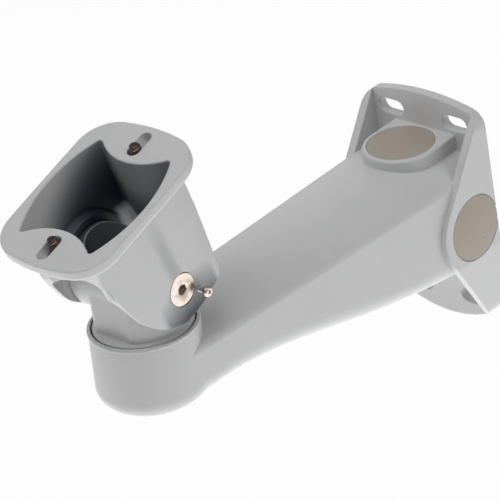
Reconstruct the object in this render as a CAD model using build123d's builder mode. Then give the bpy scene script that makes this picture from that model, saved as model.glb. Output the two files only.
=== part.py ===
from build123d import *
from math import cos, radians, sin, sqrt, tan
import os

# Camera wall bracket: a cast arm with a wall flange, a panning knuckle and a tilting head.
# Millimetres. The origin is midway between the two upper wall slots, on the wall's face.
# +Z is up and the arm runs along -Y. Heights below are measured from those slots.

# Wall flange and its two cheeks
plate_t = 5.0
flange_half_w = 36.8
flange_top_z = 12.2
flange_shoulder_z = 6.9
flange_break_z = -66.5
flange_foot_step = 6.6
flange_heel_z = -107.8
flange_foot_z = -115.4
flange_corner_r = 9.0
plate_edge_r = 1.2
cheek_t = 4.6
cheek_rim = 5.7
cheek_top_z = 7.8
cheek_foot_z = -111.5

# Wall slots
slot_row_gap = 101.8
slot_w = 8.5
slot_top_len = 16.0
slot_top_edge = 3.5
slot_low_len = 14.0
slot_low_edge = 8.7

# Arm
reach = 216.5
arm_side_step = 1.6
arm_half_cup = 27.6
arm_top_z = -12.0
arm_roof_r = 69.0
arm_crease_r = 5.0
arm_keel_r = 10.0
arm_wall = 4.5
keel_line = (
    (0.0, -76.0),
    (35.0, -73.5),
    (61.0, -69.8),
    (90.0, -64.4),
    (123.0, -56.6),
    (157.0, -49.5),
    (186.0, -46.2),
)

# Conduit entries and their plugs
conduit_bore_r = 16.0
conduit_seat_r = 17.6
conduit_seat_depth = 3.0
top_boss_r = 19.9
top_boss_z = -6.5
top_boss_edge_r = 1.2
top_conduit_y = 23.8
side_conduit_y = 17.1
side_conduit_z = -49.6
plug_play = 0.15
plug_head_t = 2.0
plug_skirt_len = 7.0
plug_skirt_wall = 2.2
plug_edge_r = 0.5
gasket_w = 1.2

# Cup of the pan joint
cup_rim_z = -7.0
cup_bottom_z = -47.4
cup_rim_r = 27.6
cup_neck_r = 27.1
cup_base_r = 28.8
cup_base_round = 9.5
cup_lip_h = 1.8
cup_lip_r = 0.8
disc_bore_r = 25.8
disc_bore_depth = 8.0
journal_bore_r = 21.05
journal_bore_end_z = -26.0
chamber_r = 23.3
passage_start_y = 178.0
passage_slant = 8.0

# Swivel knuckle
pivot_rise = 26.0
running_gap = 0.05
disc_r = 24.9
disc_proud = 0.4
disc_edge_r = 0.5
journal_groove_z = -20.5
journal_groove_r = 19.2
journal_groove_w = 4.0
base_bore_r = 16.0
tower_r = 23.4
tower_flat = 20.4
barrel_r = 20.8
barrel_half = 23.5
throat_half_x = 21.2
throat_half_y = 17.0
throat_corner_r = 14.0
throat_floor_z = -3.0
tilt_boss_r = 8.0
tilt_boss_end = 12.5
tower_foot_r = 0.8
tower_corner_r = 3.0

# Pan joint's small parts
thrust_washer_t = 1.0
thrust_washer_play = 0.3
seal_play = 0.3
seal_h = 2.2
seal_drop = 1.0
seal_groove_depth = 0.7
set_screw_r = 2.5
set_screw_angles = (180.0, 222.0)
set_screw_tip = 19.8
set_screw_sunk = 0.4
set_screw_hex = 2.5
set_screw_hex_depth = 2.0

# Tilting head
head_tilt = 17.5
head_face_v = 53.6
head_flange_t = 7.2
head_flange_top_r = 1.0
head_flange_low_r = 3.0
head_half_w = 33.8
head_half_l = 47.0
head_end_rise = 5.8
head_side_rise = 0.3
head_corner_r = 19.5
body_half_mid = 31.2
body_half_end = 25.4
body_end_inset = 13.5
body_corner = 2.4
body_draft = 1.3
opening_half_mid = 30.4
opening_half_end = 22.4
opening_draft = 2.2
opening_scoop = 10.2
opening_end_r = 32.0
opening_corner_r = 2.0
opening_edge_r = 1.0
end_wall = 2.6
rear_wall = 1.5
shield_hip_v = 34.0
shield_shoulder = (29.6, 14.0)
shield_waist = (25.4, 0.5)
shield_cheek = (18.5, -9.5)
shield_chin = (4.0, -17.2)
shield_heel = (27.0, -16.2)
shield_heel_r = 4.0
hub_r = 25.0
tilt_washer_t = 0.5
tilt_washer_r = 19.0
window_u = 18.9
window_r = 8.0
front_wall_bottom = 20.0
rear_wall_bottom = 4.5

# Slots and screws for the camera
head_slot_inset = 11.8
head_slot_len = 15.5
head_slot_w = 6.9
camera_screw_shift = 3.3
camera_screw_r = 2.95
camera_screw_len = 12.0
camera_head_r = 5.0
camera_head_h = 6.0
camera_hex = 5.0
camera_hex_depth = 3.0
camera_washer_r = 5.5
camera_washer_t = 1.0
spring_washer_r = 5.0
spring_washer_t = 1.0
spring_washer_split = 1.0
washer_hole_r = 3.2

# Tilt bolts and the small lock screw
tilt_bolt_r = 4.0
tilt_bolt_len = 20.0
tilt_bolt_sunk = 0.2
tilt_head_r = 8.2
tilt_head_edge = 0.4
tilt_seat_play = 0.5
tilt_hex = 5.0
tilt_hex_depth = 3.2
lock_u = 8.7
lock_v = -8.3
lock_r = 1.45
lock_tip_gap = 1.35
lock_out = 4.2
lock_head_r = 2.8
lock_head_h = 2.2
lock_cross_l = 2.8
lock_cross_w = 0.7
lock_cross_depth = 1.2
lock_cross_turn = 20.0

# Places worked out from the sizes
tall = flange_top_z - flange_foot_z
flange_foot_half_w = flange_half_w - flange_foot_step
cheek_inner = flange_half_w - cheek_t
arm_half_wall = flange_half_w - arm_side_step
slot_pitch_top = 2 * (cheek_inner - slot_top_edge) - slot_top_len
slot_pitch_low = 2 * (cheek_inner - slot_low_edge) - slot_low_len
pan_y = -reach
pivot_z = cup_rim_z + pivot_rise
disc_seat_z = cup_rim_z - disc_bore_depth
lean = radians(head_tilt)
head_normal = (0.0, -sin(lean), cos(lean))
head_along = (0.0, cos(lean), sin(lean))
pivot = (0.0, pan_y, pivot_z)
head_axis = Axis(pivot, head_normal)
head_plane = Plane(origin=pivot, x_dir=(1, 0, 0), z_dir=head_normal)
head_side = Plane(origin=pivot, x_dir=head_along, z_dir=(1, 0, 0))
head_end = Plane(origin=pivot, x_dir=(1, 0, 0), z_dir=tuple(-c for c in head_along))
pan_plane = Plane(origin=(0, pan_y, 0))
pan_axis = Axis((0, pan_y, 0), (0, 0, 1))
pivot_plane = Plane(origin=pivot, x_dir=(0, 1, 0), z_dir=(1, 0, 0))
journal_r = journal_bore_r - running_gap
journal_end_z = journal_bore_end_z + 1
disc_floor_z = disc_seat_z + thrust_washer_t + running_gap
disc_top_z = cup_rim_z + disc_proud
disc_middle = Vector(0, pan_y, disc_top_z)
hub_face = barrel_half + tilt_washer_t + running_gap
lock_len = body_half_mid + lock_out - hub_face - lock_tip_gap
body_half_l = head_half_l - body_end_inset
head_slot_mid = head_half_l - head_slot_inset
camera_screw_u = head_slot_mid - camera_screw_shift
opening_waist = body_half_l - opening_scoop
scoop_u = opening_waist + opening_end_r
scoop_r = opening_end_r - end_wall

os.makedirs("parts", exist_ok=True)


def finish(piece, name):
    """Label one finished piece and write it."""
    piece.label = name
    export_step(piece, f"parts/{name}.step")


# Front outline of the wall flange
with BuildSketch(Plane.XY) as flange_front:
    with BuildLine():
        ThreePointArc(
            (-flange_half_w, flange_shoulder_z),
            (0, flange_top_z),
            (flange_half_w, flange_shoulder_z),
        )
        Polyline(
            (flange_half_w, flange_shoulder_z),
            (flange_half_w, flange_break_z),
            (flange_foot_half_w, flange_heel_z),
        )
        ThreePointArc(
            (flange_foot_half_w, flange_heel_z),
            (0, flange_foot_z),
            (-flange_foot_half_w, flange_heel_z),
        )
        Polyline(
            (-flange_foot_half_w, flange_heel_z),
            (-flange_half_w, flange_break_z),
            (-flange_half_w, flange_shoulder_z),
        )
    make_face()
    fillet(vertices().sort_by(Axis.Y)[:2], radius=flange_corner_r)
    fillet(vertices().sort_by(Axis.Y)[-2:], radius=flange_corner_r)

# Side outline of the wall flange: the plate and the cheeks' noses
with BuildSketch(Plane.XY) as flange_side:
    with BuildLine():
        CenterArc((-side_conduit_y, side_conduit_z), conduit_seat_r + cheek_rim, 0, 360)
        Line((-plate_t, cheek_top_z), (-plate_t, cheek_foot_z))
    make_hull()
    with Locations((-plate_t / 2, side_conduit_z)):
        Rectangle(plate_t, 2 * tall)
    with Locations((tall, side_conduit_z)):
        Rectangle(2 * tall, 4 * tall, mode=Mode.SUBTRACT)

# Wall end: the plate on the wall and a cheek on each side, joined at the foot by slanting ribs
with BuildPart() as wall_end:
    with BuildSketch(Plane.XZ):
        add(flange_front.sketch)
    extrude(amount=side_conduit_y + conduit_seat_r + cheek_rim)
    with BuildSketch(Plane.YZ):
        add(flange_side.sketch)
    extrude(amount=flange_half_w, both=True, mode=Mode.INTERSECT)
    with BuildSketch(Plane.XZ.offset(plate_t)):
        Rectangle(2 * cheek_inner, 4 * tall)
    extrude(amount=tall, mode=Mode.SUBTRACT)

# Slanting ribs that carry the cheeks' inner sides down to the flange's foot
with BuildPart() as foot_ribs:
    with BuildSketch(Plane.XZ):
        add(flange_front.sketch)
    extrude(amount=side_conduit_y + conduit_seat_r + cheek_rim)
    with BuildSketch(Plane.YZ):
        add(flange_side.sketch)
    extrude(amount=cheek_inner, both=True, mode=Mode.INTERSECT)
    with BuildSketch(Plane.XZ):
        with Locations((0, flange_break_z + tall)):
            Rectangle(4 * tall, 2 * tall)
        Polygon(
            (cheek_inner, flange_break_z),
            (flange_foot_half_w - cheek_t, flange_heel_z),
            (flange_foot_half_w - cheek_t, flange_foot_z - tall),
            (cheek_t - flange_foot_half_w, flange_foot_z - tall),
            (cheek_t - flange_foot_half_w, flange_heel_z),
            (-cheek_inner, flange_break_z),
            align=None,
        )
    extrude(amount=tall, mode=Mode.SUBTRACT)

# Outer form of the arm: tapered in plan, arched on top, with an S-shaped keel
with BuildPart() as arm_form:
    with BuildSketch():
        Polygon(
            (-arm_half_wall, 0),
            (arm_half_wall, 0),
            (arm_half_cup, pan_y),
            (-arm_half_cup, pan_y),
            align=None,
        )
    extrude(amount=tall, both=True)
    with BuildSketch(Plane.XZ):
        with Locations((0, arm_top_z - arm_roof_r)):
            Circle(arm_roof_r)
    extrude(amount=reach, mode=Mode.INTERSECT)
    with BuildSketch(Plane.YZ):
        with BuildLine():
            keel = Spline(*[(-y, z) for y, z in keel_line])
            Polyline(
                keel @ 1,
                (pan_y, keel_line[-1][1]),
                (pan_y, tall),
                (0, tall),
                keel @ 0,
            )
        make_face()
    extrude(amount=2 * arm_half_wall, both=True, mode=Mode.INTERSECT)

    side_edges = edges().filter_by(lambda e: abs(e.center().X) > arm_half_cup)
    side_edges = side_edges.filter_by(lambda e: -reach * 0.9 < e.center().Y < -reach * 0.1)
    roof_edges = side_edges.filter_by(lambda e: e.center().Z > arm_top_z - arm_roof_r / 4)
    keel_edges = side_edges.filter_by(lambda e: e.center().Z < cup_bottom_z)
    fillet(roof_edges, radius=arm_crease_r)
    fillet(keel_edges, radius=arm_keel_r)

# Inner form of the arm: the same outlines, one wall smaller
with BuildPart() as arm_hollow:
    with BuildSketch():
        Polygon(
            (-arm_half_wall + arm_wall, 1),
            (arm_half_wall - arm_wall, 1),
            (arm_half_cup - arm_wall, pan_y),
            (-arm_half_cup + arm_wall, pan_y),
            align=None,
        )
    extrude(amount=tall, both=True)
    with BuildSketch(Plane.XZ.offset(-1)):
        with Locations((0, arm_top_z - arm_roof_r)):
            Circle(arm_roof_r - arm_wall)
    extrude(amount=reach - chamber_r / 2, mode=Mode.INTERSECT)
    with BuildSketch(Plane.YZ):
        with BuildLine():
            inner_keel = Spline(*[(-y, z + arm_wall) for y, z in keel_line])
            Polyline(
                inner_keel @ 1,
                (pan_y, keel_line[-1][1] + arm_wall),
                (pan_y, journal_bore_end_z),
                (-passage_start_y - passage_slant, journal_bore_end_z),
                (-passage_start_y, arm_top_z),
                (1, arm_top_z),
                (1, keel_line[0][1] + arm_wall),
                inner_keel @ 0,
            )
        make_face()
    extrude(amount=2 * arm_half_wall, both=True, mode=Mode.INTERSECT)

# Outer form of the cup
with BuildPart() as cup_form:
    with BuildSketch(Plane.XZ.offset(reach)):
        with BuildLine():
            Polyline(
                (0, cup_bottom_z),
                (cup_base_r, cup_bottom_z),
                (cup_neck_r, cup_rim_z - cup_lip_h),
                (cup_rim_r, cup_rim_z - cup_lip_h),
                (cup_rim_r, cup_rim_z),
                (0, cup_rim_z),
                (0, cup_bottom_z),
            )
        make_face()
        fillet(vertices().sort_by_distance((cup_base_r, cup_bottom_z))[0], radius=cup_base_round)
        fillet(vertices().sort_by_distance((cup_rim_r, cup_rim_z))[0], radius=cup_lip_r)
    revolve(axis=pan_axis)

# Room inside the cup: seat of the disc, journal bore and cable chamber
with BuildPart() as cup_room:
    with BuildSketch(Plane.XZ.offset(reach)):
        with BuildLine():
            Polyline(
                (0, cup_bottom_z + arm_wall),
                (chamber_r, cup_bottom_z + arm_wall),
                (chamber_r, journal_bore_end_z),
                (journal_bore_r, journal_bore_end_z),
                (journal_bore_r, disc_seat_z),
                (disc_bore_r, disc_seat_z),
                (disc_bore_r, cup_rim_z + 1),
                (0, cup_rim_z + 1),
                (0, cup_bottom_z + arm_wall),
            )
        make_face()
        fillet(
            vertices().sort_by_distance((chamber_r, cup_bottom_z + arm_wall))[0],
            radius=cup_base_round - arm_wall,
        )
    revolve(axis=pan_axis)

# Boss of the upper conduit entry, running back to the plate
with BuildPart() as top_boss:
    with BuildSketch(Plane.XY.offset(arm_top_z - arm_wall)):
        with BuildLine():
            Polyline(
                (top_boss_r, -top_conduit_y),
                (top_boss_r, 0),
                (-top_boss_r, 0),
                (-top_boss_r, -top_conduit_y),
            )
            ThreePointArc(
                (-top_boss_r, -top_conduit_y),
                (0, -top_conduit_y - top_boss_r),
                (top_boss_r, -top_conduit_y),
            )
        make_face()
    extrude(amount=top_boss_z - arm_top_z + arm_wall)
    fillet(faces().sort_by(Axis.Z)[-1].edges().sort_by(Axis.Y)[:-1], radius=top_boss_edge_r)

# Arm casting: the forms joined, hollowed and drilled
with BuildPart() as arm:
    add(arm_form.part)
    add(cup_form.part)
    add(wall_end.part)
    add(foot_ribs.part)
    add(top_boss.part)
    add(arm_hollow.part, mode=Mode.SUBTRACT)
    add(cup_room.part, mode=Mode.SUBTRACT)
    with Locations((0, -top_conduit_y, top_boss_z)):
        CounterBoreHole(
            radius=conduit_bore_r,
            counter_bore_radius=conduit_seat_r,
            counter_bore_depth=conduit_seat_depth,
            depth=top_boss_z - arm_top_z + 2 * arm_wall,
        )
    for side in (1, -1):
        with BuildSketch(Plane.YZ.offset(side * arm_half_wall / 2)):
            with Locations((-side_conduit_y, side_conduit_z)):
                Circle(conduit_bore_r)
        extrude(amount=side * flange_half_w, mode=Mode.SUBTRACT)
        with BuildSketch(Plane.YZ.offset(side * (flange_half_w - conduit_seat_depth))):
            with Locations((-side_conduit_y, side_conduit_z)):
                Circle(conduit_seat_r)
        extrude(amount=side * conduit_seat_depth * 2, mode=Mode.SUBTRACT)
    with BuildSketch(Plane.XZ):
        with GridLocations(slot_pitch_top, 1, 2, 1):
            SlotOverall(slot_top_len, slot_w)
        with Locations((0, -slot_row_gap)):
            with GridLocations(slot_pitch_low, 1, 2, 1):
                SlotOverall(slot_low_len, slot_w)
    extrude(amount=plate_t, mode=Mode.SUBTRACT)
    for turn in set_screw_angles:
        outward = (cos(radians(turn)), sin(radians(turn)), 0)
        with BuildSketch(Plane(origin=(0, pan_y, journal_groove_z), z_dir=outward)):
            Circle(set_screw_r)
        extrude(amount=cup_rim_r + 5, mode=Mode.SUBTRACT)

finish(arm.part, "arm")

# Thrust washer of the pan joint, on the shoulder of the cup
with BuildPart() as pan_thrust_washer:
    with BuildSketch(pan_plane.offset(disc_seat_z)):
        Circle(disc_bore_r - thrust_washer_play)
        Circle(journal_r + thrust_washer_play, mode=Mode.SUBTRACT)
    extrude(amount=thrust_washer_t)

finish(pan_thrust_washer.part, "pan_thrust_washer")


def cone_point_screw(turn):
    """Set screw in the cup's wall, its point in the journal's groove."""
    outward = (cos(radians(turn)), sin(radians(turn)), 0)
    start = Plane(origin=(0, pan_y, journal_groove_z), z_dir=outward)
    end_r = cup_neck_r - set_screw_sunk
    with BuildPart() as screw:
        with BuildSketch(start.offset(set_screw_tip + set_screw_r)):
            Circle(set_screw_r)
        extrude(amount=end_r - set_screw_tip - set_screw_r)
        with Locations(start.offset(set_screw_tip + set_screw_r / 2)):
            Cone(0, set_screw_r, set_screw_r)
        with BuildSketch(start.offset(end_r)):
            RegularPolygon(set_screw_hex / sqrt(3), 6)
        extrude(amount=-set_screw_hex_depth, mode=Mode.SUBTRACT)
    return screw.part


finish(cone_point_screw(set_screw_angles[0]), "pan_set_screw_a")
finish(cone_point_screw(set_screw_angles[1]), "pan_set_screw_b")


def conduit_plug(face):
    """Threaded plug of a conduit entry, its head level with the plane given."""
    with BuildPart() as plug:
        with BuildSketch(face):
            Circle(conduit_seat_r - plug_play)
        extrude(amount=-plug_head_t)
        fillet(faces().sort_by(Axis(face.origin, face.z_dir))[-1].edges(), radius=plug_edge_r)
        with BuildSketch(face.offset(-plug_head_t)):
            Circle(conduit_bore_r - plug_play)
            Circle(conduit_bore_r - plug_play - plug_skirt_wall, mode=Mode.SUBTRACT)
        extrude(amount=-plug_skirt_len)
    return plug.part


def conduit_gasket(face):
    """Flat ring under the head of a plug."""
    with BuildPart() as gasket:
        with BuildSketch(face.offset(-conduit_seat_depth)):
            Circle(conduit_seat_r - plug_play)
            Circle(conduit_seat_r - plug_play - gasket_w, mode=Mode.SUBTRACT)
        extrude(amount=conduit_seat_depth - plug_head_t)
    return gasket.part


top_entry = Plane((0, -top_conduit_y, top_boss_z), z_dir=(0, 0, 1))
left_entry = Plane((-flange_half_w, -side_conduit_y, side_conduit_z), z_dir=(-1, 0, 0))
right_entry = Plane((flange_half_w, -side_conduit_y, side_conduit_z), z_dir=(1, 0, 0))
finish(conduit_plug(top_entry), "conduit_plug_top")
finish(conduit_plug(left_entry), "conduit_plug_left")
finish(conduit_plug(right_entry), "conduit_plug_right")
finish(conduit_gasket(top_entry), "plug_gasket_top")
finish(conduit_gasket(left_entry), "plug_gasket_left")
finish(conduit_gasket(right_entry), "plug_gasket_right")

# Swivel knuckle: disc and journal below, tower and cross barrel above, one cable way through all
with BuildPart() as swivel_knuckle:
    with BuildSketch(Plane.XZ.offset(reach)):
        with BuildLine():
            Polyline(
                (0, journal_end_z),
                (journal_r, journal_end_z),
                (journal_r, disc_floor_z),
                (disc_r, disc_floor_z),
                (disc_r, disc_top_z),
                (0, disc_top_z),
                (0, journal_end_z),
            )
        make_face()
        fillet(vertices().sort_by_distance((disc_r, disc_top_z))[0], radius=disc_edge_r)
        with BuildLine():
            Polyline(
                (journal_r, journal_groove_z - journal_groove_w / 2),
                (journal_groove_r, journal_groove_z),
                (journal_r, journal_groove_z + journal_groove_w / 2),
                (journal_r, journal_groove_z - journal_groove_w / 2),
            )
        make_face(mode=Mode.SUBTRACT)
        with Locations((disc_r, cup_rim_z - seal_drop - seal_h / 2)):
            Rectangle(2 * seal_groove_depth, seal_h, mode=Mode.SUBTRACT)
    revolve(axis=pan_axis)
    with BuildSketch(pan_plane.offset(disc_top_z)):
        Circle(tower_r)
        Rectangle(2 * disc_r, 2 * tower_flat, mode=Mode.INTERSECT)
        fillet(vertices(), radius=tower_corner_r)
    extrude(amount=pivot_z - disc_top_z)
    foot_edges = edges().filter_by_position(Axis.Z, disc_top_z - 0.01, disc_top_z + 0.01)
    foot_edges = foot_edges.filter_by(lambda e: (e @ 0.5 - disc_middle).length < tower_r + 0.1)
    fillet(foot_edges, radius=tower_foot_r)
    with BuildSketch(pivot_plane):
        Circle(barrel_r)
    extrude(amount=barrel_half, both=True)
    with BuildSketch(pan_plane.offset(throat_floor_z)):
        RectangleRounded(2 * throat_half_x, 2 * throat_half_y, throat_corner_r)
    extrude(amount=tall, mode=Mode.SUBTRACT)
    with BuildSketch(pan_plane.offset(journal_end_z)):
        Circle(base_bore_r)
    extrude(amount=throat_floor_z - journal_end_z, mode=Mode.SUBTRACT)
    for side in (1, -1):
        with BuildSketch(pivot_plane.offset(side * tilt_boss_end)):
            Circle(tilt_boss_r)
        extrude(amount=side * (throat_half_x + 1 - tilt_boss_end))
    with BuildSketch(pivot_plane):
        Circle(tilt_bolt_r)
    extrude(amount=barrel_half + 1, both=True, mode=Mode.SUBTRACT)

finish(swivel_knuckle.part, "swivel_knuckle")

# Seal ring in the disc's groove
with BuildPart() as pan_seal_ring:
    with BuildSketch(pan_plane.offset(cup_rim_z - seal_drop - seal_h)):
        Circle(disc_bore_r - seal_play)
        Circle(disc_r - seal_groove_depth, mode=Mode.SUBTRACT)
    extrude(amount=seal_h)

finish(pan_seal_ring.part, "pan_seal_ring")


def tilt_bolt(side):
    """Countersunk hexagon socket bolt through one cheek of the head into the barrel."""
    end_x = body_half_mid - tilt_bolt_sunk
    with BuildPart() as bolt:
        with BuildSketch(pivot_plane.offset(side * (end_x - tilt_bolt_len))):
            Circle(tilt_bolt_r)
        extrude(amount=side * (tilt_bolt_len - 1))
        with BuildSketch(Plane.XZ.offset(reach)):
            with BuildLine():
                Polyline(
                    (side * (end_x - tilt_head_edge - tilt_head_r), pivot_z),
                    (side * (end_x - tilt_head_edge), pivot_z + tilt_head_r),
                    (side * end_x, pivot_z + tilt_head_r),
                    (side * end_x, pivot_z),
                    (side * (end_x - tilt_head_edge - tilt_head_r), pivot_z),
                )
            make_face()
        revolve(axis=Axis(pivot, (1, 0, 0)))
        with BuildSketch(pivot_plane.offset(side * end_x)):
            RegularPolygon(tilt_hex / sqrt(3), 6)
        extrude(amount=-side * tilt_hex_depth, mode=Mode.SUBTRACT)
    return bolt.part


def tilt_washer(side):
    """Friction washer between the barrel's end and the head's hub."""
    with BuildPart() as washer:
        with BuildSketch(pivot_plane.offset(side * barrel_half)):
            Circle(tilt_washer_r)
            Circle(tilt_bolt_r, mode=Mode.SUBTRACT)
        extrude(amount=side * tilt_washer_t)
    return washer.part


finish(tilt_bolt(1), "tilt_bolt_right")
finish(tilt_bolt(-1), "tilt_bolt_left")
finish(tilt_washer(1), "tilt_washer_right")
finish(tilt_washer(-1), "tilt_washer_left")

# Side outline of the head's cheeks, looking along the tilt axis: cut back in front, straight behind
with BuildSketch(Plane.XY) as shield:
    with BuildLine():
        front_hip = (-body_half_l, shield_hip_v)
        front_shoulder = (-shield_shoulder[0], shield_shoulder[1])
        front_waist = (-shield_waist[0], shield_waist[1])
        front_cheek = (-shield_cheek[0], shield_cheek[1])
        front_chin = (-shield_chin[0], shield_chin[1])
        ThreePointArc(front_hip, front_shoulder, front_waist)
        ThreePointArc(front_waist, front_cheek, front_chin)
        Polyline(
            front_chin,
            shield_heel,
            (body_half_l, head_face_v),
            (-body_half_l, head_face_v),
            front_hip,
        )
    make_face()
    fillet(vertices().sort_by_distance(shield_heel)[0], radius=shield_heel_r)

# Plan of the head's body: bulged sides and scooped ends
head_depth = head_face_v - shield_chin[1] + 1
rear_slope = (body_half_l - shield_heel[0]) / (head_face_v - shield_heel[1])
scoop_x = sqrt(scoop_r**2 - (scoop_u - body_half_l) ** 2)
body_top_mid = body_half_mid + head_face_v * tan(radians(body_draft))
with BuildSketch(Plane.XY) as body_plan:
    with BuildLine():
        ThreePointArc(
            (body_half_end, -body_half_l), (body_top_mid, 0), (body_half_end, body_half_l)
        )
        Line((body_half_end, body_half_l), (scoop_x, body_half_l))
        ThreePointArc((scoop_x, body_half_l), (0, scoop_u - scoop_r), (-scoop_x, body_half_l))
        Line((-scoop_x, body_half_l), (-body_half_end, body_half_l))
        ThreePointArc(
            (-body_half_end, body_half_l), (-body_top_mid, 0), (-body_half_end, -body_half_l)
        )
        Line((-body_half_end, -body_half_l), (-scoop_x, -body_half_l))
        ThreePointArc(
            (-scoop_x, -body_half_l), (0, scoop_r - scoop_u), (scoop_x, -body_half_l)
        )
        Line((scoop_x, -body_half_l), (body_half_end, -body_half_l))
    make_face()
    chamfer(vertices().filter_by(lambda v: abs(v.X) > scoop_x + 1), length=body_corner)

# Plan of the head's opening
opening_u = scoop_u - sqrt(opening_end_r**2 - opening_half_end**2)
with BuildSketch(Plane.XY) as opening_plan:
    with BuildLine():
        ThreePointArc(
            (opening_half_end, -opening_u), (opening_half_mid, 0), (opening_half_end, opening_u)
        )
        ThreePointArc((opening_half_end, opening_u), (0, opening_waist), (-opening_half_end, opening_u))
        ThreePointArc(
            (-opening_half_end, opening_u), (-opening_half_mid, 0), (-opening_half_end, -opening_u)
        )
        ThreePointArc(
            (-opening_half_end, -opening_u), (0, -opening_waist), (opening_half_end, -opening_u)
        )
    make_face()
    fillet(vertices(), radius=opening_corner_r)

# Cavity of the head: the opening tapers down, follows the sloping rear and leaves two round hubs
with BuildPart() as head_cavity:
    with BuildSketch(head_plane.offset(head_face_v)):
        add(opening_plan.sketch)
    extrude(amount=-head_depth, taper=opening_draft)
    with BuildSketch(head_side):
        Polygon(
            (body_half_l - rear_wall, head_face_v),
            (-body_half_l, head_face_v),
            (-body_half_l, head_face_v - head_depth),
            (body_half_l - rear_wall - rear_slope * head_depth, head_face_v - head_depth),
            align=None,
        )
    extrude(amount=body_half_mid, both=True, mode=Mode.INTERSECT)
    for side in (1, -1):
        with BuildSketch(head_side.offset(side * hub_face)):
            Circle(hub_r)
        extrude(amount=side * hub_face, mode=Mode.SUBTRACT)

# Flange that carries the camera, bulged on its four sides
with BuildPart() as head_flange:
    with BuildSketch(head_plane.offset(head_face_v - head_flange_t)):
        with BuildLine():
            flange_end = head_half_l - head_end_rise
            ThreePointArc(
                (head_half_w, -flange_end), (head_half_w + head_side_rise, 0), (head_half_w, flange_end)
            )
            ThreePointArc((head_half_w, flange_end), (0, head_half_l), (-head_half_w, flange_end))
            ThreePointArc(
                (-head_half_w, flange_end), (-head_half_w - head_side_rise, 0), (-head_half_w, -flange_end)
            )
            ThreePointArc((-head_half_w, -flange_end), (0, -head_half_l), (head_half_w, -flange_end))
        make_face()
        fillet(vertices(), radius=head_corner_r)
    extrude(amount=head_flange_t)
    fillet(faces().sort_by(head_axis)[-1].edges(), radius=head_flange_top_r)
    fillet(faces().sort_by(head_axis)[0].edges(), radius=head_flange_low_r)

# Tilting head: a hollow body on two cheeks under the flange
with BuildPart() as tilt_head:
    with BuildSketch(head_side):
        add(shield.sketch)
    extrude(amount=body_half_mid, both=True)
    with BuildSketch(head_plane.offset(head_face_v)):
        add(body_plan.sketch)
    extrude(amount=-head_depth, taper=body_draft, mode=Mode.INTERSECT)
    add(head_flange.part)
    add(head_cavity.part, mode=Mode.SUBTRACT)
    fillet(faces().sort_by(head_axis)[-1].inner_wires().edges(), radius=opening_edge_r)
    with BuildSketch(head_end.offset(window_u)):
        with Locations((0, front_wall_bottom - head_face_v)):
            RectangleRounded(2 * opening_half_end, 2 * head_face_v, window_r)
    extrude(amount=head_half_l, mode=Mode.SUBTRACT)
    with BuildSketch(head_end.offset(-window_u)):
        with Locations((0, rear_wall_bottom - head_face_v)):
            RectangleRounded(2 * opening_half_end, 2 * head_face_v, window_r)
    extrude(amount=-head_half_l, mode=Mode.SUBTRACT)
    with BuildSketch(pivot_plane):
        Circle(tilt_bolt_r + running_gap)
    extrude(amount=2 * body_half_mid, both=True, mode=Mode.SUBTRACT)
    for side in (1, -1):
        with BuildSketch(Plane.XZ.offset(reach)):
            with BuildLine():
                seat_r = tilt_head_r + tilt_seat_play
                Polyline(
                    (side * (body_half_mid - tilt_bolt_sunk - seat_r), pivot_z),
                    (side * (body_half_mid - tilt_bolt_sunk), pivot_z + seat_r),
                    (side * (body_half_mid + 1), pivot_z + seat_r),
                    (side * (body_half_mid + 1), pivot_z),
                    (side * (body_half_mid - tilt_bolt_sunk - seat_r), pivot_z),
                )
            make_face()
        revolve(axis=Axis(pivot, (1, 0, 0)), mode=Mode.SUBTRACT)
    with BuildSketch(head_side.offset(hub_face - 1)):
        with Locations((lock_u, lock_v)):
            Circle(lock_r)
    extrude(amount=body_half_mid, mode=Mode.SUBTRACT)
    with BuildSketch(head_plane.offset(head_face_v)):
        with GridLocations(1, 2 * head_slot_mid, 1, 2):
            SlotOverall(head_slot_len, head_slot_w, rotation=90)
    extrude(amount=-head_flange_t, mode=Mode.SUBTRACT)

finish(tilt_head.part, "tilt_head")

# Small cross-recessed screw that locks the tilt, shown a few turns out
with BuildPart() as tilt_lock_screw:
    lock_plane = head_side.offset(body_half_mid + lock_out)
    with BuildSketch(lock_plane.offset(-lock_len)):
        with Locations((lock_u, lock_v)):
            Circle(lock_r)
    extrude(amount=lock_len)
    with BuildSketch(lock_plane):
        with Locations((lock_u, lock_v)):
            Circle(lock_head_r)
    extrude(amount=lock_head_h)
    fillet(faces().sort_by(Axis.X)[-1].edges(), radius=lock_head_h / 2)
    with BuildSketch(lock_plane.offset(lock_head_h)):
        with Locations((lock_u, lock_v)):
            Rectangle(lock_cross_l, lock_cross_w, rotation=lock_cross_turn)
            Rectangle(lock_cross_w, lock_cross_l, rotation=lock_cross_turn)
    extrude(amount=-lock_cross_depth, mode=Mode.SUBTRACT)

finish(tilt_lock_screw.part, "tilt_lock_screw")

under_flange_v = head_face_v - head_flange_t
spring_top_v = under_flange_v - camera_washer_t
screw_seat_v = spring_top_v - spring_washer_t


def camera_screw(u):
    """Socket screw under the flange, pointing up through a slot."""
    seat = head_plane.offset(screw_seat_v)
    with BuildPart() as screw:
        with BuildSketch(seat):
            with Locations((0, u)):
                Circle(camera_screw_r)
        extrude(amount=camera_screw_len)
        with BuildSketch(seat):
            with Locations((0, u)):
                Circle(camera_head_r)
        extrude(amount=-camera_head_h)
        with BuildSketch(seat.offset(-camera_head_h)):
            with Locations((0, u)):
                RegularPolygon(camera_hex / sqrt(3), 6)
        extrude(amount=camera_hex_depth, mode=Mode.SUBTRACT)
    return screw.part


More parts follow.
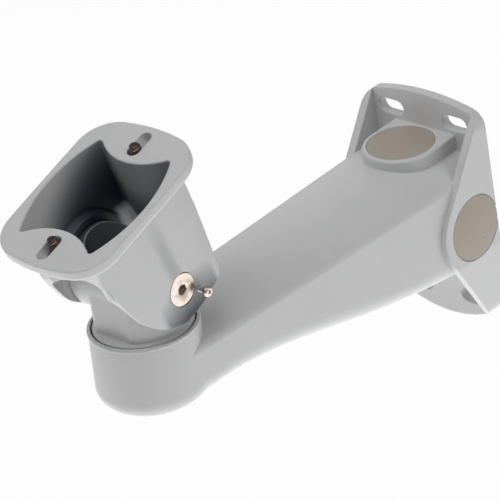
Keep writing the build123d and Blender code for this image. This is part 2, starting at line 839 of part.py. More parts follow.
def camera_washer(u):
    """Flat washer against the underside of the flange."""
    with BuildPart() as washer:
        with BuildSketch(head_plane.offset(spring_top_v)):
            with Locations((0, u)):
                Circle(camera_washer_r)
                Circle(washer_hole_r, mode=Mode.SUBTRACT)
        extrude(amount=camera_washer_t)
    return washer.part


def spring_washer(u):
    """Split spring washer between the flat washer and the screw's head."""
    with BuildPart() as washer:
        with BuildSketch(head_plane.offset(screw_seat_v)):
            with Locations((0, u)):
                Circle(spring_washer_r)
                Circle(washer_hole_r, mode=Mode.SUBTRACT)
            with Locations((spring_washer_r - 1, u)):
                Rectangle(4, spring_washer_split, mode=Mode.SUBTRACT)
        extrude(amount=spring_washer_t)
    return washer.part


finish(camera_screw(-camera_screw_u), "camera_screw_front")
finish(camera_screw(camera_screw_u), "camera_screw_rear")
finish(camera_washer(-camera_screw_u), "camera_washer_front")
finish(camera_washer(camera_screw_u), "camera_washer_rear")
finish(spring_washer(-camera_screw_u), "camera_spring_washer_front")
finish(spring_washer(camera_screw_u), "camera_spring_washer_rear")
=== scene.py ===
"""Studio scene of a cast camera wall bracket: finishes, threaded fasteners, lamps and camera."""

import logging
import math
from collections.abc import Callable
from dataclasses import dataclass, field
from enum import Enum

import bmesh
import bpy
from mathutils import Matrix, Vector

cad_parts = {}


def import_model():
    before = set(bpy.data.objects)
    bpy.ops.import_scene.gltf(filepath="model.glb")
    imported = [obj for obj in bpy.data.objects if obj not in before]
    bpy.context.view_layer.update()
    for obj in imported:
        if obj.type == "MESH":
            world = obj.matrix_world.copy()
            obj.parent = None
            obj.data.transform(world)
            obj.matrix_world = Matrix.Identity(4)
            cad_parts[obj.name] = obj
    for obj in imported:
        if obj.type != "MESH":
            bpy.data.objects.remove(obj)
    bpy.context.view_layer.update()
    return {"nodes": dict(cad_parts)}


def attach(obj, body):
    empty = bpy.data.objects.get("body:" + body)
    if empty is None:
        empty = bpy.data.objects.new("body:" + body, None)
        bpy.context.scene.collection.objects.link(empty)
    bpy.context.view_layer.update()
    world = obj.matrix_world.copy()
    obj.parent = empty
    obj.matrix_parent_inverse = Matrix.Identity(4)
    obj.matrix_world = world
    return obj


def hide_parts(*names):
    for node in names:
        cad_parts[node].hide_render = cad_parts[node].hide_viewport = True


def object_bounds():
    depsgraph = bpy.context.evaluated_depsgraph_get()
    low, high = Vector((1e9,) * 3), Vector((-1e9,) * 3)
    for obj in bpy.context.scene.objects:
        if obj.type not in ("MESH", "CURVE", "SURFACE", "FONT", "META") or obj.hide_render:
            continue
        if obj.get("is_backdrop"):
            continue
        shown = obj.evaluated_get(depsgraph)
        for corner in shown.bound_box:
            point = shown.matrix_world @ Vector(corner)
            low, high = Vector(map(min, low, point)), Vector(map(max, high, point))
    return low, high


LOG = logging.getLogger("bracket")
MM = 0.001
LEAN = math.radians(17.5)
PIVOT = Vector((0.0, -216.5, 19.0)) * MM
Number = float | int
Colour = tuple[float, float, float]
Paints = dict[str, bpy.types.Material]
Solids = dict[str, bpy.types.Object]


class Way(Enum):
    """Directions that screws and plugs point in, as unit vectors of the bracket's frame."""

    RIGHT = (1.0, 0.0, 0.0)
    LEFT = (-1.0, 0.0, 0.0)
    UP = (0.0, 0.0, 1.0)
    HEAD_UP = (0.0, -math.sin(LEAN), math.cos(LEAN))
    HEAD_BACK = (0.0, math.cos(LEAN), math.sin(LEAN))

    def vector(self) -> Vector:
        """Return the direction as a vector."""
        return Vector(self.value)


class Socket:
    """One output of a shader node tree that takes part in Python arithmetic."""

    def __init__(self, tree: "ShaderSheet", output: bpy.types.NodeSocket) -> None:
        """Wrap an output.

        Args:
            tree: The sheet that the output belongs to.
            output: The node's output socket.
        """
        self.tree = tree
        self.output = output

    def _math(self, operation: str, *others: "Socket | Number") -> "Socket":
        """Return a Math node's result on this value and the others."""
        return self.tree.node("ShaderNodeMath", {"operation": operation}, self, *others)

    def __add__(self, other: "Socket | Number") -> "Socket":
        """Return the sum."""
        return self._math("ADD", other)

    __radd__ = __add__

    def __sub__(self, other: "Socket | Number") -> "Socket":
        """Return the difference."""
        return self._math("SUBTRACT", other)

    def __rsub__(self, other: Number) -> "Socket":
        """Return a number less this value."""
        return self.tree.node("ShaderNodeMath", {"operation": "SUBTRACT"}, other, self)

    def __mul__(self, other: "Socket | Number") -> "Socket":
        """Return the product."""
        return self._math("MULTIPLY", other)

    __rmul__ = __mul__

    def __truediv__(self, other: "Socket | Number") -> "Socket":
        """Return the quotient."""
        return self._math("DIVIDE", other)

    def __pow__(self, other: Number) -> "Socket":
        """Return the power."""
        return self._math("POWER", other)

    def __rpow__(self, other: Number) -> "Socket":
        """Return a number to the power of this value."""
        return self.tree.node("ShaderNodeMath", {"operation": "POWER"}, other, self)

    def size(self) -> "Socket":
        """Return the value without its sign."""
        return self._math("ABSOLUTE")

    def size_from(self, middle: Number) -> "Socket":
        """Return the distance from a middle value."""
        return (self - middle).size()

    def at_least(self, other: "Socket | Number") -> "Socket":
        """Return the larger of two values."""
        return self._math("MAXIMUM", other)

    def clamped(self) -> "Socket":
        """Return the value held between 0 and 1."""
        return self.tree.node(
            "ShaderNodeMath", {"operation": "ADD", "use_clamp": True}, self, 0.0
        )


class ShaderSheet:
    """A material's node tree, written as expressions."""

    def __init__(self, name: str) -> None:
        """Make an empty material.

        Args:
            name: The material's name.
        """
        self.material = bpy.data.materials.new(name)
        self.material.use_nodes = True
        self.tree = self.material.node_tree
        self.tree.nodes.clear()

    def node(
        self,
        kind: str,
        settings: dict[str, object],
        *values: object,
        out: int | str = 0,
        **named: object,
    ) -> Socket:
        """Add one node, set it up and link it.

        Args:
            kind: The node's type.
            settings: Properties set before the sockets, such as an operation.
            *values: Values or links of the first inputs, in order.
            out: The output wanted.
            **named: Values or links of inputs by name, with _ for a space.

        Returns:
            The wanted output.
        """
        made = self.tree.nodes.new(kind)
        for key, value in settings.items():
            setattr(made, key, value)
        for index, value in enumerate(values):
            self._feed(made.inputs[index], value)
        for key, value in named.items():
            self._feed(made.inputs[key.replace("_", " ")], value)
        return Socket(self, made.outputs[out])

    def _feed(self, socket: bpy.types.NodeSocket, value: object) -> None:
        """Link or set one input.

        Args:
            socket: The input.
            value: A link, a colour or a number.
        """
        if isinstance(value, Socket):
            self.tree.links.new(value.output, socket)
        elif isinstance(value, tuple) and len(value) == 3 and socket.type == "RGBA":
            socket.default_value = (*value, 1.0)
        else:
            socket.default_value = value

    def place(self) -> Socket:
        """Return the surface point in the bracket's frame, in metres."""
        return self.node("ShaderNodeTexCoord", {}, out="Object")

    def axes(self) -> tuple[Socket, Socket, Socket]:
        """Return the surface point's three coordinates.

        Returns:
            Its x, y and z in millimetres.
        """
        split = [
            self.node("ShaderNodeSeparateXYZ", {}, self.place(), out=index) for index in range(3)
        ]
        return split[0] * 1000.0, split[1] * 1000.0, split[2] * 1000.0

    def head_place(self) -> tuple[Socket, Socket, Socket]:
        """Return the surface point's place in the head.

        Returns:
            How far it lies across, along and above the tilt axis, in millimetres.
        """
        x, y, z = self.axes()
        y, z = y - PIVOT.y / MM, z - PIVOT.z / MM
        along = y * math.cos(LEAN) + z * math.sin(LEAN)
        above = z * math.cos(LEAN) - y * math.sin(LEAN)
        return x, along, above

    def noise(self, per_metre: float, detail: float = 3.0, roughness: float = 0.5) -> Socket:
        """Return cloudy noise over the surface.

        Args:
            per_metre: Lumps in a metre.
            detail: Octaves of finer lumps.
            roughness: Strength of the finer lumps.

        Returns:
            The noise's value, about 0.5 on average.
        """
        return self.node(
            "ShaderNodeTexNoise",
            {},
            out="Fac",
            Vector=self.place(),
            Scale=per_metre,
            Detail=detail,
            Roughness=roughness,
        )

    def blend(self, factor: Socket, first: object, second: object) -> Socket:
        """Return a colour between two.

        Args:
            factor: 0 for the first colour, 1 for the second.
            first: A colour or a link.
            second: A colour or a link.

        Returns:
            The mixed colour.
        """
        mix = self.tree.nodes.new("ShaderNodeMix")
        mix.data_type = "RGBA"
        self._feed(mix.inputs[0], factor)
        self._feed(mix.inputs[6], first)
        self._feed(mix.inputs[7], second)
        return Socket(self, mix.outputs[2])

    def bump(
        self, height: Socket, depth: float, strength: float = 1.0, normal: Socket | None = None
    ) -> Socket:
        """Return a normal bent by a height.

        Args:
            height: The height, 0 to 1.
            depth: Metres between 0 and 1.
            strength: Share of the effect.
            normal: The normal that is bent, or nothing for the surface's own.

        Returns:
            The bent normal.
        """
        more = {} if normal is None else {"Normal": normal}
        return self.node(
            "ShaderNodeBump",
            {},
            out="Normal",
            Height=height,
            Distance=depth,
            Strength=strength,
            **more,
        )

    def surface(self, **sockets: object) -> bpy.types.Material:
        """Finish the material with one principled surface.

        Args:
            **sockets: The shader's inputs by name, with _ for a space.

        Returns:
            The material.
        """
        shader = self.node("ShaderNodeBsdfPrincipled", {}, out="BSDF", **sockets)
        self.output(shader)
        return self.material

    def output(self, shader: Socket) -> None:
        """Send a shader to the material's surface."""
        end = self.tree.nodes.new("ShaderNodeOutputMaterial")
        self.tree.links.new(shader.output, end.inputs["Surface"])


@dataclass(frozen=True)
class PowderCoat:
    """Light grey powder coat on die cast metal, slightly mottled with a fine orange peel."""

    name: str = "painted_casting"
    colour: Colour = (0.585, 0.587, 0.592)
    shade: Colour = (0.55, 0.552, 0.557)
    primer_and_shade: Colour = (0.009, 0.015, 0.029)
    gloss: float = 0.44
    peel_depth: float = 0.00005
    edge_radius: float = 0.0011

    def coat_and_shade(self, sheet: ShaderSheet) -> Socket | None:
        """Return the share of the coat over the near black colour of primer and painted shade, or
        nothing where the coat is everywhere.
        """
        return None

    def make(self) -> bpy.types.Material:
        """Make the coat.

        Returns:
            The coat as a material.
        """
        sheet = ShaderSheet(self.name)
        cloud = sheet.noise(38, detail=4, roughness=0.6)
        peel = sheet.noise(900, detail=2)
        grain = sheet.noise(3200, detail=2)
        colour = sheet.blend((cloud * 1.6 - 0.3).clamped(), self.shade, self.colour)
        coat_and_shade = self.coat_and_shade(sheet)
        if coat_and_shade is not None:
            # Painted shade: where the coat's share is low, the colour goes to the near black primer
            # colour.
            colour = sheet.blend(coat_and_shade, self.primer_and_shade, colour)
        soft = sheet.node("ShaderNodeBevel", {"samples": 8}, Radius=self.edge_radius, out="Normal")
        return sheet.surface(
            Base_Color=colour,
            Roughness=(cloud * 0.12 + (self.gloss - 0.02)).clamped(),
            Normal=sheet.bump(peel * 0.7 + grain * 0.3, self.peel_depth, 0.45, soft),
            Specular_IOR_Level=0.4,
        )


@dataclass(frozen=True)
class HeadCoat(PowderCoat):
    """The coat of the head: inside the opening it darkens to near black blue with depth and towards
    the rear, painted shade over a dark primer.
    """

    name: str = "painted_head"
    face: float = 53.6
    fade: float = 19.0
    slope: float = 0.55
    scoop_centre: float = 55.3
    scoop_radius: float = 32.0
    scoop_shaded_cover: float = 0.45
    scoop_draft: float = 0.04
    scoop_fade: float = 30.0
    cheek_inner: float = 31.1
    cheek_bow: float = 0.0066
    full_depth: float = 3.0
    full_along: float = -5.0
    front_gap: tuple[float, float] = (14.0, 30.0)
    rear_gap: tuple[float, float] = (21.0, 38.0)
    falloff: float = 2.718

    def coat_and_shade(self, sheet: ShaderSheet) -> Socket | None:
        """Darken the opening with painted shade, with depth and towards the rear, over a dark
        primer.

        Args:
            sheet: The coat's node tree.

        Returns:
            The coat's share, 1 where the coat is full and 0 where painted shade leaves the dark
            primer colour.
        """
        side, along, height = sheet.head_place()
        depth = self.face - height
        cheek = self.cheek_inner - self.cheek_bow * along * along - side.size()
        inside = (cheek * 2.0 + 0.5).clamped()
        end = (side * side + (along.size() - self.scoop_centre) ** 2) ** 0.5 - self.scoop_radius
        inside = inside * ((end + 1.2) * 2.0).clamped() * (depth * 1.5 - 0.3).clamped()
        for way, (start, below) in ((along * -1.0, self.front_gap), (along, self.rear_gap)):
            gap = ((way - start) * 0.3).clamped() * ((depth - below) * 0.2).clamped()
            inside = inside * (1.0 - gap)
        # Painted shadow: the opening's walls darken with depth and towards the rear, along the
        # shadow line of the rear rim.
        slide = (depth - self.full_depth + (along - self.full_along) * self.slope) / self.fade
        slide = slide.at_least(0.0)
        walls = self.falloff ** (slide * slide * -1.0)
        # Painted shade on the rear scoop wall: a fixed share of the coat, darker deep down.
        scoop = (1.0 - (end - depth * self.scoop_draft) * 0.5).clamped() * (along * 0.2).clamped()
        deep = (1.6 - depth / self.scoop_fade).clamped()
        thin_and_shaded = walls * (1.0 - scoop) + scoop * deep * self.scoop_shaded_cover
        return 1.0 - inside * (1.0 - thin_and_shaded)


@dataclass(frozen=True)
class KnuckleCoat(PowderCoat):
    """The coat of the knuckle: painted shade over a dark primer in its cable way and on what the
    head covers, with a painted highlight on the way's rim.
    """

    name: str = "painted_knuckle"
    way_half: tuple[float, float] = (21.2, 17.0)
    way_corner: float = 14.0
    covered_from: float = 9.0
    front_edge: float = -14.0
    way_shaded_cover: float = 0.06
    rim_highlight: float = 0.5

    def coat_and_shade(self, sheet: ShaderSheet) -> Socket | None:
        """Darken the coat with painted shade in the cable way and where the head covers it.

        Args:
            sheet: The coat's node tree.

        Returns:
            The coat's share, 1 where the coat is full and 0 where painted shade leaves the dark
            primer colour.
        """
        x, y, z = sheet.axes()
        wide, long = self.way_half
        across = (x.size() - (wide - self.way_corner)).at_least(0.0)
        down = (y.size_from(PIVOT.y / MM) - (long - self.way_corner)).at_least(0.0)
        far = (across * across + down * down) ** 0.5 - self.way_corner
        # Painted shade: the cable way goes near black.
        way = (1.1 - far * 4.0).clamped()
        # Painted highlight: a lighter band along the way's rim.
        rim = (1.0 - (far - 0.25).size() * 2.2).clamped() * ((z - 12.0) * 0.5).clamped()
        _, along, above = sheet.head_place()
        # Painted shade where the head covers the knuckle.
        high = ((above - self.covered_from) * 0.25).clamped()
        high = high * ((along - self.front_edge) * 0.5).clamped()
        shaded_share = (way + high - way * high).clamped()
        full = 1.0 - shaded_share * (1.0 - self.way_shaded_cover)
        return (full + rim * self.rim_highlight).clamped()


@dataclass(frozen=True)
class MouldedPlastic:
    """Beige grey moulded plastic with a fine spark-eroded grain."""

    name: str = "plug_plastic"
    colour: Colour = (0.4, 0.35, 0.3)
    shade: Colour = (0.36, 0.315, 0.268)
    gloss: float = 0.5

    def make(self) -> bpy.types.Material:
        """Make the plastic.

        Returns:
            The plastic as a material.
        """
        sheet = ShaderSheet(self.name)
        cloud = sheet.noise(70, detail=4)
        grain = sheet.noise(4200, detail=2)
        colour = sheet.blend((cloud * 1.5 - 0.25).clamped(), self.shade, self.colour)
        return sheet.surface(
            Base_Color=colour,
            Roughness=(grain * 0.14 + (self.gloss - 0.05)).clamped(),
            Normal=sheet.bump(grain, 0.00003, 0.5),
            Specular_IOR_Level=0.35,
        )


@dataclass(frozen=True)
class SoftRubber:
    """Black moulded rubber with a dusty bloom."""

    name: str = "black_rubber"
    colour: Colour = (0.014, 0.014, 0.016)
    bloom: Colour = (0.035, 0.035, 0.037)

    def make(self) -> bpy.types.Material:
        """Make the rubber.

        Returns:
            The rubber as a material.
        """
        sheet = ShaderSheet(self.name)
        dust = sheet.noise(240, detail=5, roughness=0.65)
        colour = sheet.blend((dust * 2.0 - 0.7).clamped(), self.colour, self.bloom)
        return sheet.surface(
            Base_Color=colour,
            Roughness=(dust * 0.2 + 0.6).clamped(),
            Normal=sheet.bump(dust, 0.00004, 0.5),
        )


@dataclass(frozen=True)
class BearingPlastic:
    """Natural bearing plastic, smooth and slightly milky."""

    name: str = "bearing_plastic"
    colour: Colour = (0.62, 0.61, 0.57)
    shade: Colour = (0.55, 0.54, 0.5)

    def make(self) -> bpy.types.Material:
        """Make the bearing plastic.

        Returns:
            The bearing plastic as a material.
        """
        sheet = ShaderSheet(self.name)
        cloud = sheet.noise(160, detail=3)
        return sheet.surface(
            Base_Color=sheet.blend(cloud, self.shade, self.colour),
            Roughness=(cloud * 0.1 + 0.38).clamped(),
            Normal=sheet.bump(cloud, 0.00002, 0.4),
        )


@dataclass(frozen=True)
class PlatedSteel:
    """Plated steel with fine drawn marks and darker, worn spots."""

    name: str = "nickel_steel"
    colour: Colour = (0.56, 0.485, 0.435)
    worn: Colour = (0.44, 0.375, 0.335)
    rough: float = 0.33
    edge_radius: float = 0.00018

    def make(self) -> bpy.types.Material:
        """Make the steel.

        Returns:
            The steel as a material.
        """
        sheet = ShaderSheet(self.name)
        stain = sheet.noise(420, detail=5, roughness=0.6)
        marks = sheet.noise(5200, detail=2)
        colour = sheet.blend((stain * 2.2 - 0.6).clamped(), self.worn, self.colour)
        soft = sheet.node("ShaderNodeBevel", {"samples": 8}, Radius=self.edge_radius, out="Normal")
        return sheet.surface(
            Base_Color=colour,
            Metallic=1.0,
            Roughness=(marks * 0.16 + (self.rough - 0.08)).clamped(),
            Normal=sheet.bump(marks, 0.00002, 0.5, soft),
        )


@dataclass(frozen=True)
class TurnedFace(PlatedSteel):
    """Plated steel with fine rings left by turning, about the tilt axis."""

    name: str = "turned_steel"
    ring_pitch: float = 0.55

    def make(self) -> bpy.types.Material:
        """Make the turned steel.

        Returns:
            The turned steel as a material.
        """
        sheet = ShaderSheet(self.name)
        stain = sheet.noise(300, detail=4, roughness=0.6)
        _, along, above = sheet.head_place()
        radius = (along * along + above * above) ** 0.5
        ring = sheet.node(
            "ShaderNodeMath", {"operation": "SINE"}, radius * (2 * math.pi / self.ring_pitch)
        )
        colour = sheet.blend((stain * 1.6 - 0.3).clamped(), self.worn, self.colour)
        return sheet.surface(
            Base_Color=colour,
            Metallic=1.0,
            Roughness=(ring * 0.035 + stain * 0.1 + (self.rough - 0.05)).clamped(),
            Normal=sheet.bump(ring * 0.5 + 0.5, 0.000006, 0.6),
        )


@dataclass(frozen=True)
class Finishes:
    """All finishes of the bracket, made once and shared."""

    coats: tuple[PowderCoat, ...] = (PowderCoat(), HeadCoat(), KnuckleCoat())
    plastic: MouldedPlastic = MouldedPlastic()
    rubber: SoftRubber = SoftRubber()
    bearing: BearingPlastic = BearingPlastic()
    nickel: PlatedSteel = PlatedSteel()
    turned: TurnedFace = TurnedFace()
    bronzed: PlatedSteel = PlatedSteel(
        name="bronzed_steel", colour=(0.2, 0.145, 0.12), worn=(0.07, 0.052, 0.045), rough=0.36
    )

    def make(self) -> Paints:
        """Return each finish's material by its name."""
        others = (self.plastic, self.rubber, self.bearing, self.nickel, self.turned, self.bronzed)
        return {kind.name: kind.make() for kind in (*self.coats, *others)}


def wear(piece: bpy.types.Object, material: bpy.types.Material) -> None:
    """Give a piece one material.

    Args:
        piece: The piece.
        material: Its finish.
    """
    piece.data.materials.clear()
    piece.data.materials.append(material)


class Bench:
    """Hand modelling with Blender's operators. Pieces are made about +Z and then set in place."""

    def lone(self, piece: bpy.types.Object) -> None:
        """Select one piece alone and make it active.

        Args:
            piece: The piece.
        """
        bpy.ops.object.select_all(action="DESELECT")
        piece.select_set(True)
        bpy.context.view_layer.objects.active = piece

    def rod(
        self, radius: float, low: float, high: float, sides: int = 48, tip: float | None = None
    ) -> bpy.types.Object:
        """Add a round or many-sided bar about +Z.

        Args:
            radius: Its radius at the low end, in millimetres.
            low: Its lower end.
            high: Its upper end.
            sides: Sides of its outline.
            tip: Its radius at the high end, if that is another.

        Returns:
            The bar, selected alone.
        """
        bpy.ops.object.select_all(action="DESELECT")
        bpy.ops.mesh.primitive_cone_add(
            vertices=sides,
            radius1=radius * MM,
            radius2=(radius if tip is None else tip) * MM,
            depth=(high - low) * MM,
            location=(0, 0, (low + high) / 2 * MM),
        )
        bpy.ops.object.transform_apply(location=True, rotation=True, scale=True)
        return bpy.context.object

    def edit(self, piece: bpy.types.Object, kind: str, test: Callable[..., bool]) -> None:
        """Open a piece in edit mode with the vertices, edges or faces that pass a test selected.

        Args:
            piece: The piece.
            kind: VERT, EDGE or FACE.
            test: Takes the element and says whether it is wanted.
        """
        self.lone(piece)
        bpy.ops.object.mode_set(mode="EDIT")
        bpy.ops.mesh.select_mode(type=kind)
        bpy.ops.mesh.select_all(action="DESELECT")
        mesh = bmesh.from_edit_mesh(piece.data)
        found = {"VERT": mesh.verts, "EDGE": mesh.edges, "FACE": mesh.faces}[kind]
        for element in found:
            if test(element):
                element.select = True
        mesh.select_flush_mode()
        bmesh.update_edit_mesh(piece.data)

    def close(self) -> None:
        """Leave edit mode."""
        bpy.ops.object.mode_set(mode="OBJECT")

    def chamfer_top(self, piece: bpy.types.Object, size: float, segments: int = 1) -> None:
        """Bevel the edges round the highest flat face.

        Args:
            piece: The piece.
            size: Width of the bevel in millimetres.
            segments: Steps of the bevel.
        """
        top = max(v.co.z for v in piece.data.vertices)
        self.edit(piece, "EDGE", lambda e: all(v.co.z > top - 1e-6 for v in e.verts))
        bpy.ops.mesh.bevel(offset=size * MM, segments=segments, affect="EDGES")
        self.close()

    def cut(self, piece: bpy.types.Object, cutter: bpy.types.Object) -> None:
        """Cut one piece out of another and remove the cutter.

        Args:
            piece: What stays.
            cutter: What is taken out.
        """
        self.lone(piece)
        knife = piece.modifiers.new("cut", "BOOLEAN")
        knife.operation = "DIFFERENCE"
        knife.solver = "EXACT"
        knife.object = cutter
        bpy.ops.object.modifier_apply(modifier=knife.name)
        bpy.data.objects.remove(cutter, do_unlink=True)

    def join(self, pieces: list[bpy.types.Object]) -> bpy.types.Object:
        """Join pieces into the first one.

        Args:
            pieces: The pieces, the one that stays first.

        Returns:
            The joined piece.
        """
        self.lone(pieces[0])
        for piece in pieces[1:]:
            piece.select_set(True)
        bpy.ops.object.join()
        return bpy.context.object

    def twin(self, piece: bpy.types.Object) -> bpy.types.Object:
        """Copy a piece with its mesh.

        Args:
            piece: What is copied.

        Returns:
            The copy, with a mesh of its own.
        """
        second = piece.copy()
        second.data = piece.data.copy()
        bpy.context.scene.collection.objects.link(second)
        return second

    def finish(
        self, piece: bpy.types.Object, name: str, at: Vector, way: Vector, turn: float = 0.0
    ) -> None:
        """Name a piece, smooth it and set it in place with its object at the origin.

        Args:
            piece: The piece, made about +Z.
            name: Its name.
            at: Where its own origin goes, in metres.
            way: Where its +Z goes.
            turn: Turn about its own axis, in degrees.
        """
        piece.name = name
        piece.data.name = name
        self.lone(piece)
        bpy.ops.object.shade_smooth_by_angle(angle=math.radians(32))
        aim = way.to_track_quat("Z", "Y").to_matrix().to_4x4()
        spin = Matrix.Rotation(math.radians(turn), 4, "Z")
        piece.matrix_world = Matrix.Translation(at) @ aim @ spin
        bpy.ops.object.transform_apply(location=True, rotation=True, scale=True)
        piece.select_set(False)


@dataclass(frozen=True)
class Thread:
    """Right-hand screw thread about +Z, in millimetres."""

    outer: float
    pitch: float
    low: float
    high: float
    steps: int = 28
    share: float = 0.61

    @property
    def root(self) -> float:
        """Return the radius at the bottom of the thread."""
        return self.outer - self.share * self.pitch

    def wind(self, bench: Bench) -> bpy.types.Object:
        """Wind the thread's tooth round the bar and run both ends out into it.

        Args:
            bench: Where it is made.

        Returns:
            The wound tooth, a closed piece.
        """
        depth = self.outer - self.root
        middle = (self.outer + self.root) / 2 - 0.04 * self.pitch
        centre = (middle * MM, 0, (self.low + 0.45 * self.pitch) * MM)
        bpy.ops.object.select_all(action="DESELECT")
        bpy.ops.mesh.primitive_circle_add(
            vertices=4,
            radius=(depth + 0.08 * self.pitch) / math.sqrt(2) * MM,
            fill_type="NOTHING",
            location=centre,
            rotation=(math.pi / 2, math.pi / 4, 0),
        )
        bpy.ops.object.transform_apply(location=True, rotation=True, scale=True)
        coil = bpy.context.object
        bench.edit(coil, "VERT", lambda v: v.co.x < middle * MM)
        tall = 0.86 * self.pitch / (depth + 0.08 * self.pitch)
        bpy.ops.transform.resize(value=(1, 1, tall), center_override=centre)
        bench.close()
        bench.edit(coil, "VERT", lambda v: v.co.x > middle * MM)
        flat = 0.16 * self.pitch / (depth + 0.08 * self.pitch)
        bpy.ops.transform.resize(value=(1, 1, flat), center_override=centre)
        bench.close()
        turns = max(1, int((self.high - self.low) / self.pitch - 0.9))
        winding = coil.modifiers.new("thread", "SCREW")
        winding.axis = "Z"
        winding.angle = 2 * math.pi
        winding.screw_offset = self.pitch * MM
        winding.iterations = turns
        winding.steps = self.steps
        winding.render_steps = self.steps
        bench.lone(coil)
        bpy.ops.object.modifier_apply(modifier=winding.name)
        for sign in (-1, 1):
            self._run_out(bench, coil, sign)
        bench.edit(coil, "FACE", lambda f: True)
        bpy.ops.mesh.normals_make_consistent(inside=False)
        bench.close()
        return coil

    def _run_out(self, bench: Bench, coil: bpy.types.Object, sign: int) -> None:
        """Draw one open end of the tooth to a point inside the bar.

        Args:
            bench: Where it is made.
            coil: The wound tooth.
            sign: -1 for the lower end, 1 for the upper.
        """
        zs = [v.co.z for v in coil.data.vertices]
        split = (min(zs) + max(zs)) / 2
        bench.edit(
            coil,
            "EDGE",
            lambda e: e.is_boundary and (e.verts[0].co.z - split) * sign > 0,
        )
        bpy.ops.mesh.merge(type="CENTER")
        bpy.ops.transform.resize(value=(0.9, 0.9, 1.0), center_override=(0, 0, 0))
        bench.close()


@dataclass
class ScrewKind:
    """What all of the bracket's screws share: their bench and how they stand for a solid."""

    bench: Bench = field(default_factory=Bench)

    def stand(
        self, piece: bpy.types.Object, node: str, body: str, paint: bpy.types.Material, slot: str
    ) -> None:
        """Let a finished piece stand for a solid.

        Args:
            piece: The piece, in place.
            node: The solid that it replaces.
            body: The body that it rides on.
            paint: Its finish.
            slot: The record's material slot of that finish; not used.
        """
        wear(piece, paint)
        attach(piece, body)
        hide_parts(node)
        LOG.info("%s stands for %s", piece.name, node)


@dataclass
class CameraScrews(ScrewKind):
    """Two M6 socket screws that point up through the head's slots."""

    along: float = 31.9
    seat: float = 44.4
    shank: float = 12.0
    outer: float = 2.95
    pitch: float = 1.0
    head: float = 5.0
    head_h: float = 6.0
    hexagon: float = 5.0
    hexagon_depth: float = 3.0
    knurls: int = 36

    def model(self) -> bpy.types.Object:
        """Model one screw.

        Returns:
            The screw about +Z, its seat at height 0.
        """
        bench = self.bench
        thread = Thread(self.outer, self.pitch, 0.15, self.shank - 0.35)
        core = bench.rod(thread.root, -0.5, self.shank, 32)
        bench.chamfer_top(core, 0.45)
        head = bench.rod(self.head, -self.head_h, 0.0, 2 * self.knurls)
        bench.edit(head, "EDGE", self._groove)
        bpy.ops.transform.resize(value=(0.965, 0.965, 1.0), center_override=(0, 0, 0))
        bench.close()
        bench.edit(head, "FACE", lambda f: f.normal.z < -0.9)
        bpy.ops.mesh.inset(thickness=0.45 * MM, depth=0)
        bench.close()
        bench.edit(head, "VERT", self._low_rim)
        bpy.ops.transform.translate(value=(0, 0, 0.4 * MM))
        bench.close()
        corner = self.hexagon / math.sqrt(3)
        socket = bench.rod(corner, -self.head_h - 1.0, self.hexagon_depth - self.head_h, 6)
        bench.cut(head, socket)
        return bench.join([head, core, thread.wind(bench)])

    def _groove(self, edge: bmesh.types.BMEdge) -> bool:
        """Say whether an upright edge is every other one, and so the bottom of a knurl.

        Args:
            edge: An edge of the head.

        Returns:
            Whether it is such an edge.
        """
        first, second = edge.verts
        if (first.co.xy - second.co.xy).length > 1e-6:
            return False
        turn = math.atan2(first.co.y, first.co.x) / (math.pi / self.knurls)
        return round(turn) % 2 == 0

    def _low_rim(self, vertex: bmesh.types.BMVert) -> bool:
        """Say whether a vertex is on the outer rim of the head's end."""
        low = vertex.co.z < (0.05 - self.head_h) * MM
        return low and vertex.co.xy.length > (self.head * 0.955 - 0.1) * MM

    def build(self, paints: Paints) -> None:
        """Make both screws.

        Args:
            paints: The finishes by name.
        """
        first = self.model()
        second = self.bench.twin(first)
        up, back = Way.HEAD_UP.vector(), Way.HEAD_BACK.vector()
        for piece, place, sign, turn in ((first, "front", -1, 20.0), (second, "rear", 1, 130.0)):
            at = PIVOT + up * self.seat * MM + back * sign * self.along * MM
            self.bench.finish(piece, f"m6_screw_{place}", at, up, turn)
            self.stand(
                piece, f"camera_screw_{place}", "head", paints["bronzed_steel"], "nickel_steel"
            )


